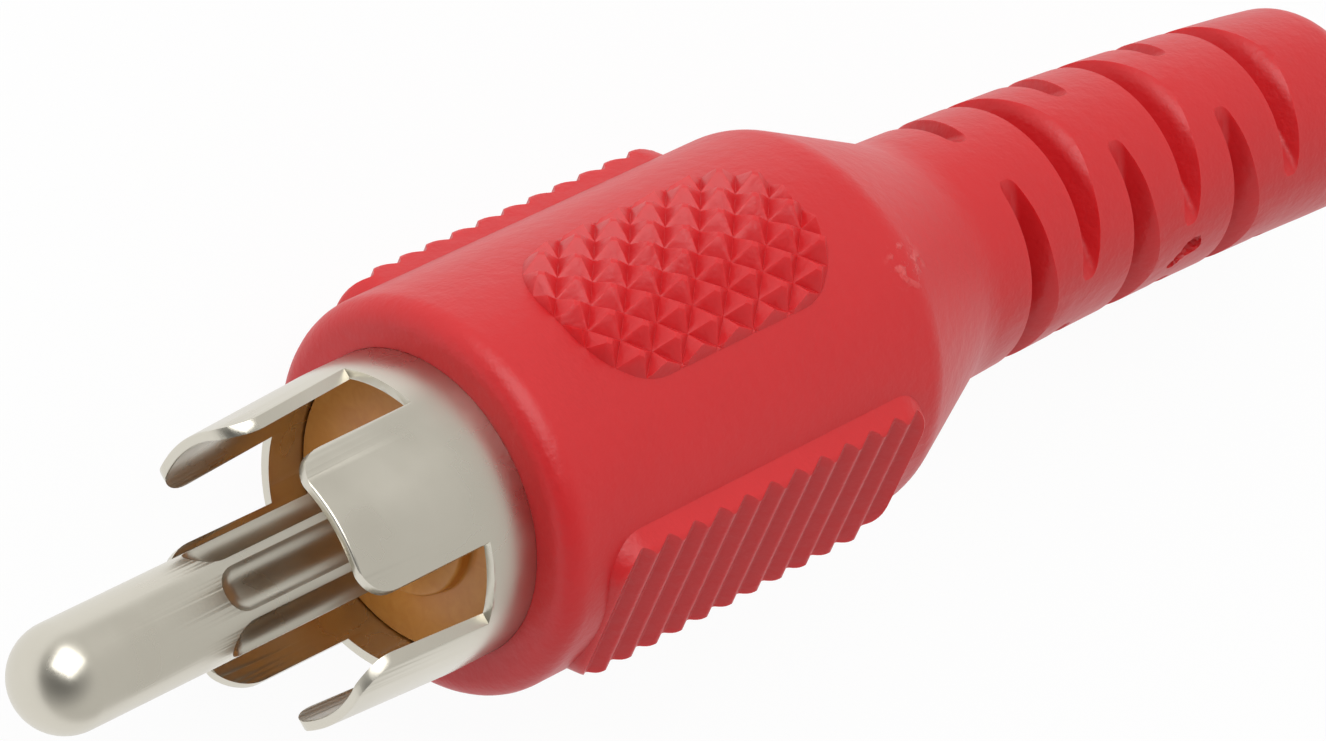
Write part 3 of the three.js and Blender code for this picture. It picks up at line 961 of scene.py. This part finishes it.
# %% Phenolic board
phenolic, tree, shader, place = finish("amber-brown phenolic board")
flattened = node(tree, "ShaderNodeMapping", {"Vector": place, "Scale": (4, 1, 1)})
fibres = node(tree, "ShaderNodeTexNoise", {
    "Vector": flattened.outputs["Vector"], "Scale": 1 / (0.5 * MM), "Detail": 6, "Distortion": 1.2})
ambers = node(tree, "ShaderNodeMix", {
    "Factor": fibres.outputs["Fac"], "A": linear("#E38C2C"), "B": linear("#F8AF54")}, data_type="RGBA")
fibre_bump = node(tree, "ShaderNodeBump", {
    "Height": fibres.outputs["Fac"], "Strength": 0.25, "Distance": 0.02 * MM})
tree.links.new(ambers.outputs["Result"], shader.inputs["Base Color"])
tree.links.new(fibre_bump.outputs["Normal"], shader.inputs["Normal"])
shader.inputs["Roughness"].default_value = 0.38
shader.inputs["IOR"].default_value = 1.6
coated(phenolic, insulator)

# %% [markdown]
# ### Inside and behind
#
# The inner mould and the core's insulation are polyethylene, waxy and a little
# translucent. The wires are bare copper, the jacket is black PVC with a fine grain, and
# the solder is tin, bright and slightly lumpy.

# %% Polyethylene, black PVC, copper and tin
def plain_finish(name, dark, light, size, roughness, metallic, bump, subsurface=0.0):
    """A finish with a two-tone noise of the given size in millimetres."""
    material, tree, shader, place = finish(name)
    noise = node(tree, "ShaderNodeTexNoise", {"Vector": place, "Scale": 1 / (size * MM), "Detail": 4})
    tone = node(tree, "ShaderNodeMix", {
        "Factor": noise.outputs["Fac"], "A": linear(dark), "B": linear(light)}, data_type="RGBA")
    relief = node(tree, "ShaderNodeBump", {
        "Height": noise.outputs["Fac"], "Strength": bump, "Distance": 0.02 * MM})
    tree.links.new(tone.outputs["Result"], shader.inputs["Base Color"])
    tree.links.new(relief.outputs["Normal"], shader.inputs["Normal"])
    shader.inputs["Roughness"].default_value = roughness
    shader.inputs["Metallic"].default_value = metallic
    shader.inputs["Subsurface Weight"].default_value = subsurface
    shader.inputs["Subsurface Scale"].default_value = 0.5 * MM
    return material


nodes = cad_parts
natural = plain_finish(
    "natural polyethylene", "#D6D0BF", "#E2DDCF",
    size=1.5, roughness=0.5, metallic=0, bump=0.2, subsurface=0.3)
white = plain_finish(
    "white polyethylene", "#E6E2D8", "#F0EDE6",
    size=1.0, roughness=0.5, metallic=0, bump=0.2, subsurface=0.3)
black = plain_finish(
    "black PVC jacket", "#1B1B1C", "#262627", size=0.15, roughness=0.55, metallic=0, bump=0.4)
copper = plain_finish(
    "bare copper wire", "#B06A3C", "#C98658", size=0.6, roughness=0.28, metallic=1, bump=0.15)
tin = plain_finish(
    "tin solder", "#A5A7A8", "#B9BBBC", size=0.5, roughness=0.25, metallic=1, bump=0.6)
coated(natural, nodes["inner_mould"])
coated(white, insulation)
coated(black, jacket)
coated(copper, core, shield)
coated(tin, nodes["shield_solder"])

# %% [markdown]
# ## Floor, light and camera
#
# The plug lies on a white sheet. To the camera and to reflections the sheet is mostly
# glowing white, and the rest of its shader keeps the plug's soft shadow. A large square
# lamp stands above the plug, about 30 degrees round from the camera towards +Y. The
# surroundings give an even pale light and darken behind the camera, as a room does, so
# that the polished nose has its small dark reflection.

# %% Floor
FLOOR_SIZE = 4
GLOW_SHARE = 0.95
GLOSSY_BOOST = 0.08
bpy.ops.object.select_all(action="DESELECT")
bpy.ops.mesh.primitive_plane_add(size=FLOOR_SIZE)
floor = bpy.context.object
floor.name = "floor"
sheet, tree, shader, place = finish("white card")
shader.inputs["Base Color"].default_value = linear("#F0F0F0")
shader.inputs["Roughness"].default_value = 0.9
rays = node(tree, "ShaderNodeLightPath", {}).outputs
seen = node(tree, "ShaderNodeMath", {
    0: rays["Is Camera Ray"], 1: rays["Is Glossy Ray"]}, operation="MAXIMUM")
share = node(tree, "ShaderNodeMath", {
    0: seen.outputs["Value"], 1: GLOW_SHARE}, operation="MULTIPLY")
bright = node(tree, "ShaderNodeMath", {
    0: rays["Is Glossy Ray"], 1: GLOSSY_BOOST, 2: 1}, operation="MULTIPLY_ADD")
glow = node(tree, "ShaderNodeEmission", {"Color": (1, 1, 1, 1), "Strength": bright.outputs["Value"]})
mixed = node(tree, "ShaderNodeMixShader", {
    "Fac": share.outputs["Value"], 1: shader.outputs["BSDF"], 2: glow.outputs["Emission"]})
tree.links.new(mixed.outputs["Shader"], tree.nodes["Material Output"].inputs["Surface"])
floor.data.materials.append(sheet)
print("floor", FLOOR_SIZE, "m square with the finish", sheet.name)

# %% Surroundings
CAMERA_SIDE = (-0.651, 0.205, 0.731)
world = bpy.data.worlds.new("surroundings")
bpy.context.scene.world = world
world.use_nodes = True
tree = world.node_tree
direction = node(tree, "ShaderNodeTexCoord", {}).outputs["Generated"]
behind_camera = node(tree, "ShaderNodeVectorMath", {
    0: direction, 1: CAMERA_SIDE}, operation="DOT_PRODUCT")
brightness = node(tree, "ShaderNodeMapRange", {
    "Value": behind_camera.outputs["Value"], "From Min": 0.4, "From Max": 0.95,
    "To Min": 0.8, "To Max": 0.15})
sky = tree.nodes["Background"]
sky.inputs["Color"].default_value = linear("#F4F3F0")
tree.links.new(brightness.outputs["Result"], sky.inputs["Strength"])
print("surroundings darken towards", CAMERA_SIDE)

# %% Lamp
LAMP_PLACE = Vector((-0.12, 0.24, 0.3))
LAMP_WIDTH = 0.35
LAMP_WATTS = 1.25
lamp_data = bpy.data.lights.new("key", "AREA")
lamp_data.size = LAMP_WIDTH
lamp_data.energy = LAMP_WATTS
lamp = bpy.data.objects.new("key", lamp_data)
bpy.context.collection.objects.link(lamp)
lamp.location = LAMP_PLACE
lamp.rotation_euler = (-LAMP_PLACE).to_track_quat("-Z", "Y").to_euler()
print("lamp %.2f m from the plug" % LAMP_PLACE.length)

# %% Camera
CAMERA_PLACE = (-0.13184, 0.04154, 0.14799 + AXIS_Z)
CAMERA_TURN = (2.460, -42.528, -21.280)
CAMERA_LENS = 189.08
CAMERA_SHIFT = 0.001
camera_data = bpy.data.cameras.new("camera")
camera_data.lens = CAMERA_LENS
camera_data.sensor_width = 36
camera_data.shift_y = CAMERA_SHIFT
camera_data.clip_start = 0.01
camera = bpy.data.objects.new("camera", camera_data)
bpy.context.collection.objects.link(camera)
camera.location = CAMERA_PLACE
camera.rotation_euler = [math.radians(angle) for angle in CAMERA_TURN]
bpy.context.scene.camera = camera
bpy.context.scene.view_settings.view_transform = "Standard"
print("camera lens", CAMERA_LENS, "mm at", [round(v, 4) for v in CAMERA_PLACE], "m")
